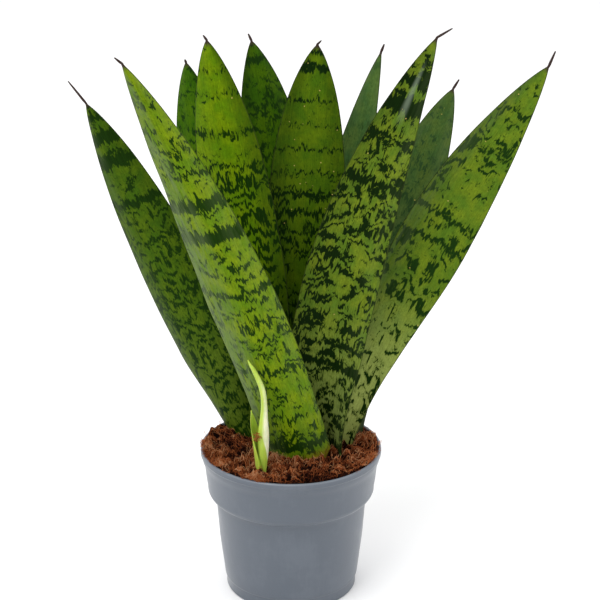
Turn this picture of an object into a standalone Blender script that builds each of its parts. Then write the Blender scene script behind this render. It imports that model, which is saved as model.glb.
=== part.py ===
"""Potted snake plant: a nursery pot, its coir, the rhizome, ten leaves and a sprout.

Units are metres and +Z is up. The origin is the middle of the pot's underside, and the plant's
front faces -Y. Each leaf is a blade lofted along its midrib: its cross-sections are arcs, deep
at the foot and flatter towards the tip, and it ends in a hard little spike.
"""
import math
from typing import NamedTuple

import bmesh
import bpy
from mathutils import Vector

# ---- Driving dimensions ----
POT_HEIGHT = 0.100
RIM_RADIUS = 0.060
BASE_RADIUS = 0.0436
POT_WALL = 0.0015
POT_FLOOR = 0.0020
LIP_ROUNDING = 0.0012
LIP_DROP = 0.0034            # the lip's straight side ends this far below the top
LIP_WALL = 0.0023            # the lip's thickness at its top
# The collar's outer side: distance in from the rim and down from the top.
COLLAR_PROFILE = ((0.0018, 0.0085), (0.0029, 0.0125), (0.0045, 0.0270))
COLLAR_FOOT = 0.0638         # height where the collar ends and the tapered body starts
SHOULDER_RADIUS = 0.0052
SHOULDER_SWEEP = 68          # degrees the shoulder turns under
SHOULDER_STEP = 0.0099       # the body's top is this far in from the rim
FOOT_HEIGHT = 0.0066         # the small step round the foot
FOOT_STEP = 0.0012
FOOT_ROUNDING = 0.0012
FLOOR_EDGE = 0.0030          # the inner floor stops this far in from BASE_RADIUS
COIR_TOP = 0.096             # height of the coir in the middle of the pot
# The coir's upper side: radius and distance down from COIR_TOP.
COIR_PROFILE = ((0.0, 0.0), (0.030, 0.0), (0.050, 0.0010), (0.0564, 0.0018))
FIT_GAP = 0.0003             # clearance between pieces that touch
SOCKET_GAP = 0.0004          # clearance round what is buried in the coir
SOCKET_END_GAP = 0.0030      # a socket runs this far past the leaf, into the rhizome's pocket
SOCKET_MOUTH = 0.03          # and this far up the blade, as a fraction of its length
TURN_STEPS = 48              # facets round the pot and the coir

DRAIN_HOLES = 6
DRAIN_HOLE_RADIUS = 0.004
DRAIN_CIRCLE = 0.034
CHANNEL_INNER = 0.014        # the drain channels run from here to the holes
CHANNEL_WIDTH = 0.003
CHANNEL_DEPTH = 0.0008

LEAF_THICKNESS = 0.0034      # at the midrib near the foot
TIP_THICKNESS = 0.0014
MARGIN_THICKNESS = 0.32      # a margin's thickness, as a share of the midrib's
BURIED_DEPTH = 0.018
ROOT_NARROWING = 0.62        # a blade's width at its buried end, as a share of its foot's
TIP_FULLNESS = 0.8           # below 1, every blade is fuller near its tip
SPIKE_WIDTH = 0.0012
SPIKE_TAPER = ((0.5, 0.7), (1.0, 0.35))  # share of the spike's reach, share of its width
BLADE_STEPS = 15
BLADE_COLUMNS = 6
STEP_CROWDING = 1.25         # above 1, the cross-sections crowd towards the tip

RHIZOME_HEIGHT = 0.0692
RHIZOME_RADIUS = 0.0065
RHIZOME_GAP = 0.0006

SPROUT_DEPTH = 0.014
SPROUT_SIDES = 3             # the curve's bevel resolution
SHEATH_THICKNESS = 0.0010


class Leaf(NamedTuple):
    """One leaf's shape. Angles are in degrees, and facing 0 is -Y, 90 is +X."""

    name: str
    foot: tuple      # x, y where the midrib leaves the coir
    tip: tuple       # x, y, z where the blade ends and its spike starts
    bow: tuple       # x, y by which the midrib's middle leaves the straight line
    facing: tuple    # the way the hollow side faces, at the foot and at the tip
    width: tuple     # width along the cross-section, at the foot and at the widest place
    peak: float      # the widest place, as a fraction of the length
    taper: float     # how full the blade stays towards its tip
    curl: tuple      # the angle a cross-section bends through: foot, middle, tip
    spike: tuple     # x, y, z reach of the hard tip


class Section(NamedTuple):
    """One cross-section of a blade."""

    centre: Vector
    side: Vector
    hollow: Vector
    width: float
    curl: float
    thickness: float


LEAVES = (
    Leaf("leaf_front_broad", (-0.002, -0.014), (-0.0959, -0.075, 0.3747), (0.0082, -0.002),
         (156, 160), (0.062, 0.0591), 0.21, 1.75, (130, 80, 60), (-0.0041, -0.001, 0.0037)),
    Leaf("leaf_left_outer", (-0.0334, 0.0234), (-0.132, 0.045, 0.3213), (0.0003, 0.004),
         (150, 155), (0.026, 0.0561), 0.265, 2.25, (90, 60, 50), (-0.0115, 0.004, 0.0137)),
    Leaf("leaf_left_back", (-0.018, 0.030), (-0.068, 0.060, 0.345), (-0.003, 0.004),
         (170, 165), (0.022, 0.0462), 0.5, 2.4, (80, 50, 40), (-0.0006, 0.0, 0.0018)),
    Leaf("leaf_left_inner", (-0.008, 0.011), (-0.0508, -0.008, 0.3742), (-0.0004, 0.004),
         (165, 170), (0.028, 0.0483), 0.49, 2.5, (90, 50, 40), (-0.0019, 0.0, 0.0028)),
    Leaf("leaf_back_middle", (-0.002, 0.042), (-0.026, 0.080, 0.355), (0.009, 0.002),
         (0, 0), (0.026, 0.0506), 0.48, 2.4, (80, 50, 40), (-0.002, 0.002, 0.004)),
    Leaf("leaf_centre", (0.008, 0.022), (0.0169, 0.020, 0.3654), (-0.0036, 0.004),
         (0, 0), (0.028, 0.0505), 0.53, 2.7, (90, 50, 40), (0.0023, -0.001, 0.0026)),
    Leaf("leaf_back_right", (0.026, 0.036), (0.0586, 0.060, 0.352), (-0.0106, 0.002),
         (0, 0), (0.022, 0.0354), 0.385, 1.7, (80, 50, 40), (0.0019, 0.001, 0.0046)),
    Leaf("leaf_front_right", (0.019, 0.006), (0.0872, -0.035, 0.3814), (-0.0162, 0.0),
         (-15, 0), (0.044, 0.0527), 0.28, 2.05, (130, 60, 50), (0.0088, -0.001, 0.0056)),
    Leaf("leaf_right_back", (0.038, 0.025), (0.1053, 0.052, 0.3295), (-0.009, 0.0),
         (-10, 0), (0.022, 0.0446), 0.48, 2.4, (80, 50, 40), (0.0037, 0.002, 0.0055)),
    Leaf("leaf_right_outer", (0.035, 0.010), (0.1584, -0.005, 0.3573), (-0.0134, 0.0),
         (-20, -10), (0.015, 0.0465), 0.56, 1.75, (100, 50, 40), (0.0036, 0.0, 0.0092)),
)
SPROUT_SHEATH = Leaf("sprout_sheath", (-0.0222, -0.0315), (-0.0252, -0.029, 0.137), (0.0, 0.0),
                     (90, 80), (0.0130, 0.0105), 0.3, 1.6, (165, 120, 60), (0.0, 0.0, 0.001))
# x, y, z and radius along the sprout's rolled spear, from its buried end to its tip.
SPROUT_SPEAR = (
    (-0.0184, -0.0315, COIR_TOP - SPROUT_DEPTH, 0.0010),
    (-0.0181, -0.0315, 0.098, 0.0024),
    (-0.0178, -0.0316, 0.111, 0.0035),
    (-0.0177, -0.0319, 0.122, 0.0037),
    (-0.0173, -0.0324, 0.133, 0.0027),
    (-0.0170, -0.0330, 0.143, 0.0020),
    (-0.0178, -0.0338, 0.153, 0.0019),
    (-0.0204, -0.0345, 0.1615, 0.0017),
    (-0.0235, -0.0352, 0.1685, 0.0013),
    (-0.0256, -0.0356, 0.1725, 0.0008),
    (-0.0269, -0.0360, 0.1755, 0.0003),
)
# The rhizome's runs, each a list of x, y points at RHIZOME_HEIGHT: the first is the main stem.
RHIZOME_RUNS = (
    ((-0.030, 0.024), (-0.014, 0.026), (0.001, 0.021), (0.018, 0.016), (0.034, 0.018)),
    ((0.001, 0.021), (-0.001, 0.006), (-0.005, -0.010), (-0.016, -0.024)),
    ((0.001, 0.021), (-0.002, 0.036)),
    ((0.018, 0.016), (0.023, 0.032)),
)


# ---- Scene and materials ----
def clear_scene():
    for obj in list(bpy.data.objects):
        bpy.data.objects.remove(obj, do_unlink=True)


def make_collection(name):
    collection = bpy.data.collections.new(name)
    bpy.context.scene.collection.children.link(collection)
    return collection


def make_material(name, color, roughness):
    material = bpy.data.materials.new(name)
    material.use_nodes = True
    shader = material.node_tree.nodes["Principled BSDF"]
    shader.inputs["Base Color"].default_value = (*color, 1.0)
    shader.inputs["Roughness"].default_value = roughness
    shader.inputs["Metallic"].default_value = 0.0
    return material


def link_mesh(name, bm, collection, material=None):
    """Turn a bmesh into a smooth-shaded object of that name."""
    mesh = bpy.data.meshes.new(name)
    bm.to_mesh(mesh)
    bm.free()
    if material:
        mesh.materials.append(material)
    mesh.shade_smooth()
    obj = bpy.data.objects.new(name, mesh)
    collection.objects.link(obj)
    return obj


def mark_as_cutter(obj):
    obj.hide_render = True
    obj.display_type = "WIRE"


def cut(obj, cutter):
    modifier = obj.modifiers.new("Cut " + cutter.name, "BOOLEAN")
    modifier.operation = "DIFFERENCE"
    modifier.solver = "EXACT"
    modifier.object = cutter


# ---- Turned pieces ----
def turned(name, profile, collection, material):
    """A solid turned from a closed profile of (radius, height) points, outer side downwards."""
    bm = bmesh.new()
    points = [bm.verts.new((radius, 0.0, height)) for radius, height in profile]
    for start, end in zip(points, points[1:]):
        bm.edges.new((start, end))
    obj = link_mesh(name, bm, collection, material)
    screw = obj.modifiers.new("Turn", "SCREW")
    screw.steps = TURN_STEPS
    screw.render_steps = TURN_STEPS
    screw.use_merge_vertices = True
    screw.merge_threshold = 0.00001
    return obj


def arc(centre, radius, start, end, steps):
    """Points on an arc in the profile plane, angles in degrees from the outward direction."""
    points = []
    for k in range(steps + 1):
        angle = math.radians(start + (end - start) * k / steps)
        points.append((centre[0] + radius * math.cos(angle), centre[1] + radius * math.sin(angle)))
    return points


def inset(outline, distance):
    """A downward outline moved in by a distance, square to its own run."""
    points = []
    for k, (radius, height) in enumerate(outline):
        before = outline[max(k - 1, 0)]
        after = outline[min(k + 1, len(outline) - 1)]
        run = Vector((after[0] - before[0], after[1] - before[1])).normalized()
        points.append((radius + run.y * distance, height - run.x * distance))
    return points


def pot_lip():
    """The outer side of the rolled lip, from its top to the crease under it."""
    middle = (RIM_RADIUS - LIP_ROUNDING, POT_HEIGHT - LIP_ROUNDING)
    crease = (RIM_RADIUS - LIP_ROUNDING / 2, POT_HEIGHT - LIP_DROP - LIP_ROUNDING)
    return arc(middle, LIP_ROUNDING, 90, 0, 3) + [(RIM_RADIUS, POT_HEIGHT - LIP_DROP), crease]


def pot_wall():
    """The wall's outer side between lip and foot: collar, rounded shoulder and tapered body."""
    collar = [(RIM_RADIUS - inwards, POT_HEIGHT - down) for inwards, down in COLLAR_PROFILE]
    body_top = RIM_RADIUS - SHOULDER_STEP
    turn = (collar[-1][0] - SHOULDER_RADIUS, COLLAR_FOOT + 1.5 * SHOULDER_RADIUS)
    shoulder = arc(turn, SHOULDER_RADIUS, 0, -SHOULDER_SWEEP, 4)
    body = [
        (body_top, COLLAR_FOOT),
        (BASE_RADIUS + FOOT_STEP, FOOT_HEIGHT + FOOT_STEP),
    ]
    return collar + shoulder + body


def pot_foot():
    return [
        (BASE_RADIUS, FOOT_HEIGHT),
        (BASE_RADIUS, FOOT_ROUNDING),
        (BASE_RADIUS - FOOT_ROUNDING, 0.0),
    ]


def pot_inside():
    """The pot's inner side from its floor up to its lip."""
    floor = [(BASE_RADIUS - FLOOR_EDGE, POT_FLOOR)]
    mouth = [
        (RIM_RADIUS - LIP_WALL, POT_HEIGHT - LIP_DROP - LIP_ROUNDING),
        (RIM_RADIUS - LIP_WALL, POT_HEIGHT - LIP_ROUNDING),
    ]
    return floor + inset(pot_wall(), POT_WALL)[::-1] + mouth


def drain_cutters(collection):
    """A round hole and the shallow channel that leads to it, for each drain."""
    cutters = []
    for k in range(DRAIN_HOLES):
        angle = 2 * math.pi * (k + 0.5) / DRAIN_HOLES
        outward = Vector((math.cos(angle), math.sin(angle), 0.0))
        bpy.ops.mesh.primitive_cylinder_add(
            vertices=16, radius=DRAIN_HOLE_RADIUS, depth=4 * POT_FLOOR, location=outward * DRAIN_CIRCLE
        )
        hole = bpy.context.object
        hole.name = f"drain_hole_{k}"
        bpy.ops.mesh.primitive_cube_add(
            size=1.0,
            location=outward * (CHANNEL_INNER + DRAIN_CIRCLE) / 2,
            rotation=(0.0, 0.0, angle),
        )
        channel = bpy.context.object
        channel.name = f"drain_channel_{k}"
        channel.scale = (DRAIN_CIRCLE - CHANNEL_INNER, CHANNEL_WIDTH, 2 * CHANNEL_DEPTH)
        cutters += [hole, channel]
    for cutter in cutters:
        for owner in cutter.users_collection:
            owner.objects.unlink(cutter)
        collection.objects.link(cutter)
        mark_as_cutter(cutter)
    return cutters


def make_pot(parts, cutters):
    outside = pot_lip() + pot_wall() + pot_foot()
    profile = outside + [(0.0, 0.0), (0.0, POT_FLOOR)] + pot_inside()
    profile.append(profile[0])
    plastic = make_material("grey_blue_plastic", (0.160, 0.190, 0.225), 0.45)
    pot = turned("nursery_pot", profile, parts, plastic)
    for cutter in drain_cutters(cutters):
        cut(pot, cutter)


# ---- Blades ----
def smooth(x):
    """A soft step from 0 to 1."""
    x = min(max(x, 0.0), 1.0)
    return x * x * (3 - 2 * x)


def blend(start, end, share):
    return start + (end - start) * share


def midrib(leaf, t):
    """The midrib's point and direction at t, from 0 at the coir to 1 at the tip."""
    foot = Vector((*leaf.foot, COIR_TOP))
    tip = Vector(leaf.tip)
    handle = (foot + tip) / 2 + 2 * Vector((*leaf.bow, 0.0))
    point = (1 - t) ** 2 * foot + 2 * t * (1 - t) * handle + t**2 * tip
    direction = (1 - t) * (handle - foot) + t * (tip - handle)
    return point, direction.normalized()


def blade_width(leaf, t):
    foot_width, full_width = leaf.width
    if t < leaf.peak:
        return blend(foot_width, full_width, smooth(t / leaf.peak))
    past_peak = (t - leaf.peak) / (1 - leaf.peak)
    return max(full_width * (1 - past_peak**leaf.taper) ** TIP_FULLNESS, SPIKE_WIDTH)


def blade_curl(leaf, t):
    foot_curl, middle_curl, tip_curl = leaf.curl
    if t < 0.5:
        return math.radians(blend(foot_curl, middle_curl, smooth(2 * t)))
    return math.radians(blend(middle_curl, tip_curl, smooth(2 * t - 1)))


def section(leaf, t, centre=None, width=None, thickness=None):
    """The blade's cross-section at t, or the same one moved or resized."""
    point, direction = midrib(leaf, t)
    facing = math.radians(blend(*leaf.facing, smooth(t)))
    hollow = Vector((math.sin(facing), -math.cos(facing), 0.0))
    hollow = (hollow - hollow.dot(direction) * direction).normalized()
    return Section(
        centre or point,
        direction.cross(hollow),
        hollow,
        width or blade_width(leaf, t),
        blade_curl(leaf, t),
        thickness or blend(LEAF_THICKNESS, TIP_THICKNESS, smooth(t)),
    )


def buried_section(leaf, depth, grow, thickness):
    """A cross-section below the coir, on the midrib's line carried straight down."""
    foot, direction = midrib(leaf, 0.0)
    share = depth / BURIED_DEPTH
    width = leaf.width[0] * blend(1.0, ROOT_NARROWING, share) + 2 * grow
    return section(leaf, 0.0, foot - direction * depth, width, thickness + 2 * grow)


def leaf_sections(leaf, thickness):
    """Every cross-section of a leaf, from its buried end to the point of its spike."""
    sections = [
        buried_section(leaf, BURIED_DEPTH, 0.0, thickness),
        buried_section(leaf, BURIED_DEPTH / 2, 0.0, thickness),
    ]
    for k in range(BLADE_STEPS + 1):
        t = 1 - (1 - k / BLADE_STEPS) ** STEP_CROWDING
        local = blend(thickness, min(TIP_THICKNESS, thickness), smooth(t))
        sections.append(section(leaf, t, thickness=local))
    tip = Vector(leaf.tip)
    reach = Vector(leaf.spike)
    for share, size in SPIKE_TAPER:
        girth = SPIKE_WIDTH * size
        sections.append(section(leaf, 1.0, tip + reach * share, girth, girth))
    return sections


def socket_sections(leaf, thickness):
    """What a leaf's buried part takes out of the coir, a gap wider all round."""
    depths = (BURIED_DEPTH + SOCKET_END_GAP, BURIED_DEPTH, BURIED_DEPTH / 2, 0.0)
    sections = [buried_section(leaf, depth, SOCKET_GAP, thickness) for depth in depths]
    width = blade_width(leaf, SOCKET_MOUTH) + 2 * SOCKET_GAP
    sections.append(section(leaf, SOCKET_MOUTH, None, width, thickness + 2 * SOCKET_GAP))
    return sections


def loft(name, sections, collection, material=None):
    """A blade through cross-sections: a grid bent to their arcs and given their thickness."""
    thickest = max(item.thickness for item in sections)
    rows = len(sections) - 1
    bm = bmesh.new()
    bmesh.ops.create_grid(bm, x_segments=BLADE_COLUMNS, y_segments=rows, size=1.0)
    weights = []
    for vert in bm.verts:
        item = sections[round((vert.co.y + 1) / 2 * rows)]
        across = vert.co.x
        radius = item.width / item.curl
        angle = across * item.curl / 2
        vert.co = (
            item.centre
            + item.side * radius * math.sin(angle)
            + item.hollow * radius * (1 - math.cos(angle))
        )
        slimming = blend(1.0, MARGIN_THICKNESS, across**2)
        weights.append(item.thickness * slimming / thickest)
    obj = link_mesh(name, bm, collection, material)
    group = obj.vertex_groups.new(name="thickness")
    for index, weight in enumerate(weights):
        group.add([index], weight, "REPLACE")
    solidify = obj.modifiers.new("Thickness", "SOLIDIFY")
    solidify.thickness = thickest
    solidify.offset = 0.0
    solidify.vertex_group = group.name
    solidify.thickness_vertex_group = 0.0
    return obj


def make_leaves(parts, cutters):
    """The ten leaves, and the cutter for each one's socket in the coir."""
    green = make_material("leaf_green", (0.075, 0.155, 0.022), 0.40)
    sockets = []
    for leaf in LEAVES:
        loft(leaf.name, leaf_sections(leaf, LEAF_THICKNESS), parts, green)
        sockets.append(loft("socket_" + leaf.name, socket_sections(leaf, LEAF_THICKNESS), cutters))
    return sockets


# ---- Sprout ----
def spear(name, stations, collection, material=None):
    """A rolled shoot: a tube through stations of x, y, z and radius, as a mesh."""
    curve = bpy.data.curves.new(name, "CURVE")
    curve.dimensions = "3D"
    curve.bevel_depth = 1.0
    curve.bevel_resolution = SPROUT_SIDES
    curve.use_fill_caps = True
    spline = curve.splines.new("POLY")
    spline.points.add(len(stations) - 1)
    for point, (x, y, z, radius) in zip(spline.points, stations):
        point.co = (x, y, z, 1.0)
        point.radius = radius
    guide = bpy.data.objects.new(name + "_guide", curve)
    bpy.context.scene.collection.objects.link(guide)
    graph = bpy.context.evaluated_depsgraph_get()
    mesh = bpy.data.meshes.new_from_object(guide.evaluated_get(graph))
    bpy.data.objects.remove(guide, do_unlink=True)
    bm = bmesh.new()
    bm.from_mesh(mesh)
    bpy.data.meshes.remove(mesh)
    bmesh.ops.remove_doubles(bm, verts=bm.verts, dist=0.00001)
    return link_mesh(name, bm, collection, material)


def make_sprout(parts, cutters):
    """The young shoot: a rolled spear with a short sheath round its foot."""
    yellow_green = make_material("sprout_yellow_green", (0.560, 0.640, 0.180), 0.45)
    sheath_green = make_material("sheath_green", (0.330, 0.470, 0.070), 0.45)
    spear("sprout_spear", SPROUT_SPEAR, parts, yellow_green)
    loft("sprout_sheath", leaf_sections(SPROUT_SHEATH, SHEATH_THICKNESS), parts, sheath_green)
    socket = [
        (x, y, z - SOCKET_GAP, radius + SOCKET_GAP) for x, y, z, radius in SPROUT_SPEAR[:3]
    ]
    return [
        spear("socket_sprout_spear", socket, cutters),
        loft("socket_sprout_sheath", socket_sections(SPROUT_SHEATH, SHEATH_THICKNESS), cutters),
    ]


# ---- Rhizome ----
def rhizome(name, radius, collection, material=None):
    """The creeping stem under the coir: a skeleton of runs thickened by Skin."""
    bm = bmesh.new()
    joints = {}
    for run in RHIZOME_RUNS:
        for spot in run:
            if spot not in joints:
                joints[spot] = bm.verts.new((*spot, RHIZOME_HEIGHT))
        for start, end in zip(run, run[1:]):
            bm.edges.new((joints[start], joints[end]))
    obj = link_mesh(name, bm, collection, material)
    obj.modifiers.new("Body", "SKIN")
    for index, item in enumerate(obj.data.skin_vertices[0].data):
        item.radius = (radius, radius)
        item.use_root = index == 0
    rounding = obj.modifiers.new("Rounding", "SUBSURF")
    rounding.levels = 1
    rounding.render_levels = 1
    return obj


def make_rhizome(parts, cutters):
    pale = make_material("rhizome_buff", (0.480, 0.300, 0.120), 0.70)
    rhizome("rhizome", RHIZOME_RADIUS, parts, pale)
    return [rhizome("socket_rhizome", RHIZOME_RADIUS + RHIZOME_GAP, cutters)]


# ---- Coir ----
def make_coir(parts, sockets):
    """The coir fills the pot, a gap in from its wall, with a socket for all that is buried."""
    crown = [(radius, COIR_TOP - down) for radius, down in COIR_PROFILE]
    side = inset(pot_wall(), POT_WALL + FIT_GAP)
    lowest = POT_FLOOR + FIT_GAP
    underside = [(BASE_RADIUS - FLOOR_EDGE - FIT_GAP, lowest), (0.0, lowest)]
    brown = make_material("coir_brown", (0.170, 0.055, 0.018), 0.95)
    coir = turned("coir_substrate", crown + side + underside, parts, brown)
    for socket in sockets:
        mark_as_cutter(socket)
        cut(coir, socket)


def main():
    clear_scene()
    parts = make_collection("potted_snake_plant")
    cutters = make_collection("cutters")
    make_pot(parts, cutters)
    sockets = make_leaves(parts, cutters)
    sockets += make_sprout(parts, cutters)
    sockets += make_rhizome(parts, cutters)
    make_coir(parts, sockets)


main()
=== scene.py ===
"""Potted snake plant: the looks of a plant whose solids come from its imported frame.

The file is laid out as an add-on and run as a script. Each operator builds one kind of piece:
the pot, the coir, the rhizome, the leaves, the sprout and the stage. Lengths are in metres, +Z is
up and the plant's front faces -Y, as in the frame.
"""
import math
import random
from typing import NamedTuple

import bmesh
import bpy
import numpy as np
from bpy.props import FloatProperty, FloatVectorProperty, IntProperty, PointerProperty
from mathutils import Euler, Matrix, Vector, noise


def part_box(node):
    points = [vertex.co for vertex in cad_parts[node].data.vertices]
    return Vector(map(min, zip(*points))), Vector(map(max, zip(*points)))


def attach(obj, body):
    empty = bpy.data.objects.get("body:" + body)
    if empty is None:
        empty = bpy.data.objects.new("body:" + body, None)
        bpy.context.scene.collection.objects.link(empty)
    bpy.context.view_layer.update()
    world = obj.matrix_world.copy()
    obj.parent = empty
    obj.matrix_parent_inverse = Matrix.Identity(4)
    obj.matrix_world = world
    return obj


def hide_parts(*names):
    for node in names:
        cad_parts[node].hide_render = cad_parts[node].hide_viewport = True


bl_info = {
    "name": "Potted Snake Plant",
    "version": (1, 0, 0),
    "blender": (4, 5, 0),
    "location": "3D View > Sidebar > Snake Plant",
    "description": "Builds a snake plant in its nursery pot, piece by piece",
    "category": "Object",
}

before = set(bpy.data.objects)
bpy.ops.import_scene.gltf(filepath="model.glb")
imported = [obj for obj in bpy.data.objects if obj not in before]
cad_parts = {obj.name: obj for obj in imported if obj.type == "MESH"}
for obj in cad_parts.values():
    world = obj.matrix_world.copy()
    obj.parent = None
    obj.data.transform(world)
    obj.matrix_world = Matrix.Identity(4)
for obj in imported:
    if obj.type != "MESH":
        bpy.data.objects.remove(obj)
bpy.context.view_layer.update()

POT_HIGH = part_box("nursery_pot")[1]
COIR_LOW, COIR_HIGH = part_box("coir_substrate")
POT_HEIGHT = POT_HIGH.z
RIM_RADIUS = POT_HIGH.x
COIR_TOP = COIR_HIGH.z
COIR_RADIUS = COIR_HIGH.x
MOUTH_RADIUS = RIM_RADIUS - 0.0023
MM = 0.001
TIP_FULLNESS = 0.8


# ---- Leaf table ----
class Leaf(NamedTuple):
    """One leaf's shape. Angles are in degrees, and facing 0 is -Y, 90 is +X."""

    node: str
    foot: tuple      # x, y where the midrib leaves the coir
    tip: tuple       # x, y, z where the blade ends and its spike starts
    bow: tuple       # x, y by which the midrib's middle leaves the straight line
    facing: tuple    # the way the hollow side faces, at the foot and at the tip
    width: tuple     # width along the cross-section, at the foot and at the widest place
    peak: float      # the widest place, as a fraction of the length
    taper: float     # how full the blade stays towards its tip
    curl: tuple      # the angle a cross-section bends through: foot, middle, tip
    spike: tuple     # x, y, z reach of the hard tip


class Skin(NamedTuple):
    """One leaf's markings. Places along the leaf are fractions of its length, and places across
    it run from -1 at one margin to 1 at the other."""

    light: tuple          # the ground colour between the marks
    dark: tuple           # the marks' colour
    bands: tuple          # broad dark bands: (place, reach, strength)
    spacing: float        # mm between the thin zigzag marks
    lines: float          # a thin mark's share of that spacing
    loops: float          # how far the thin marks bend into loops
    gaps: float           # how much of the thin marks is missing
    zone: tuple           # the thin marks fade out between these two places
    marbling: float       # share covered by small blotches
    shadow: tuple = (0.0, 0.0)   # darkening towards the left and the right margin
    sheen: tuple = (0.0, 0.0)    # grey painted sheen towards the left and the right margin
    flecks: float = 0.0          # share of corky flecks
    ember: float = 0.0           # how orange the foot is
    low: tuple = (0.0, 0.0, 0.0)  # what the ground turns to towards the foot: a paler colour on some leaves, painted shade on the inner ones
    low_from: float = 0.0        # the place it starts to turn
    grain: float = 0.22          # how fine the blotches are, in waves per mm
    flank: float = 0.20          # how far out across the left half the painted shade and the painted sheen begin
    streak: tuple = (0.0, 0.0)   # a pale painted highlight streak near the tip: place across, strength


LEAVES = (
    Leaf("leaf_front_broad", (-0.002, -0.014), (-0.0959, -0.075, 0.3747), (0.0082, -0.002),
         (156, 160), (0.062, 0.0591), 0.21, 1.75, (130, 80, 60), (-0.0041, -0.001, 0.0037)),
    Leaf("leaf_left_outer", (-0.0334, 0.0234), (-0.132, 0.045, 0.3213), (0.0003, 0.004),
         (150, 155), (0.026, 0.0561), 0.265, 2.25, (90, 60, 50), (-0.0115, 0.004, 0.0137)),
    Leaf("leaf_left_back", (-0.018, 0.030), (-0.068, 0.060, 0.345), (-0.003, 0.004),
         (170, 165), (0.022, 0.0462), 0.5, 2.4, (80, 50, 40), (-0.0006, 0.0, 0.0018)),
    Leaf("leaf_left_inner", (-0.008, 0.011), (-0.0508, -0.008, 0.3742), (-0.0004, 0.004),
         (165, 170), (0.028, 0.0483), 0.49, 2.5, (90, 50, 40), (-0.0019, 0.0, 0.0028)),
    Leaf("leaf_back_middle", (-0.002, 0.042), (-0.026, 0.080, 0.355), (0.009, 0.002),
         (0, 0), (0.026, 0.0506), 0.48, 2.4, (80, 50, 40), (-0.002, 0.002, 0.004)),
    Leaf("leaf_centre", (0.008, 0.022), (0.0169, 0.020, 0.3654), (-0.0036, 0.004),
         (0, 0), (0.028, 0.0505), 0.53, 2.7, (90, 50, 40), (0.0023, -0.001, 0.0026)),
    Leaf("leaf_back_right", (0.026, 0.036), (0.0586, 0.060, 0.352), (-0.0106, 0.002),
         (0, 0), (0.022, 0.0354), 0.385, 1.7, (80, 50, 40), (0.0019, 0.001, 0.0046)),
    Leaf("leaf_front_right", (0.019, 0.006), (0.0872, -0.035, 0.3814), (-0.0162, 0.0),
         (-15, 0), (0.044, 0.0527), 0.28, 2.05, (130, 60, 50), (0.0088, -0.001, 0.0056)),
    Leaf("leaf_right_back", (0.038, 0.025), (0.1053, 0.052, 0.3295), (-0.009, 0.0),
         (-10, 0), (0.022, 0.0446), 0.48, 2.4, (80, 50, 40), (0.0037, 0.002, 0.0055)),
    Leaf("leaf_right_outer", (0.035, 0.010), (0.1584, -0.005, 0.3573), (-0.0134, 0.0),
         (-20, -10), (0.015, 0.0465), 0.56, 1.75, (100, 50, 40), (0.0036, 0.0, 0.0092)),
)
SHEATH = Leaf("sprout_sheath", (-0.0222, -0.0315), (-0.0252, -0.029, 0.137), (0.0, 0.0),
              (90, 45), (0.0130, 0.0105), 0.3, 2.2, (165, 120, 60), (0.0, 0.0, 0.001))
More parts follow.
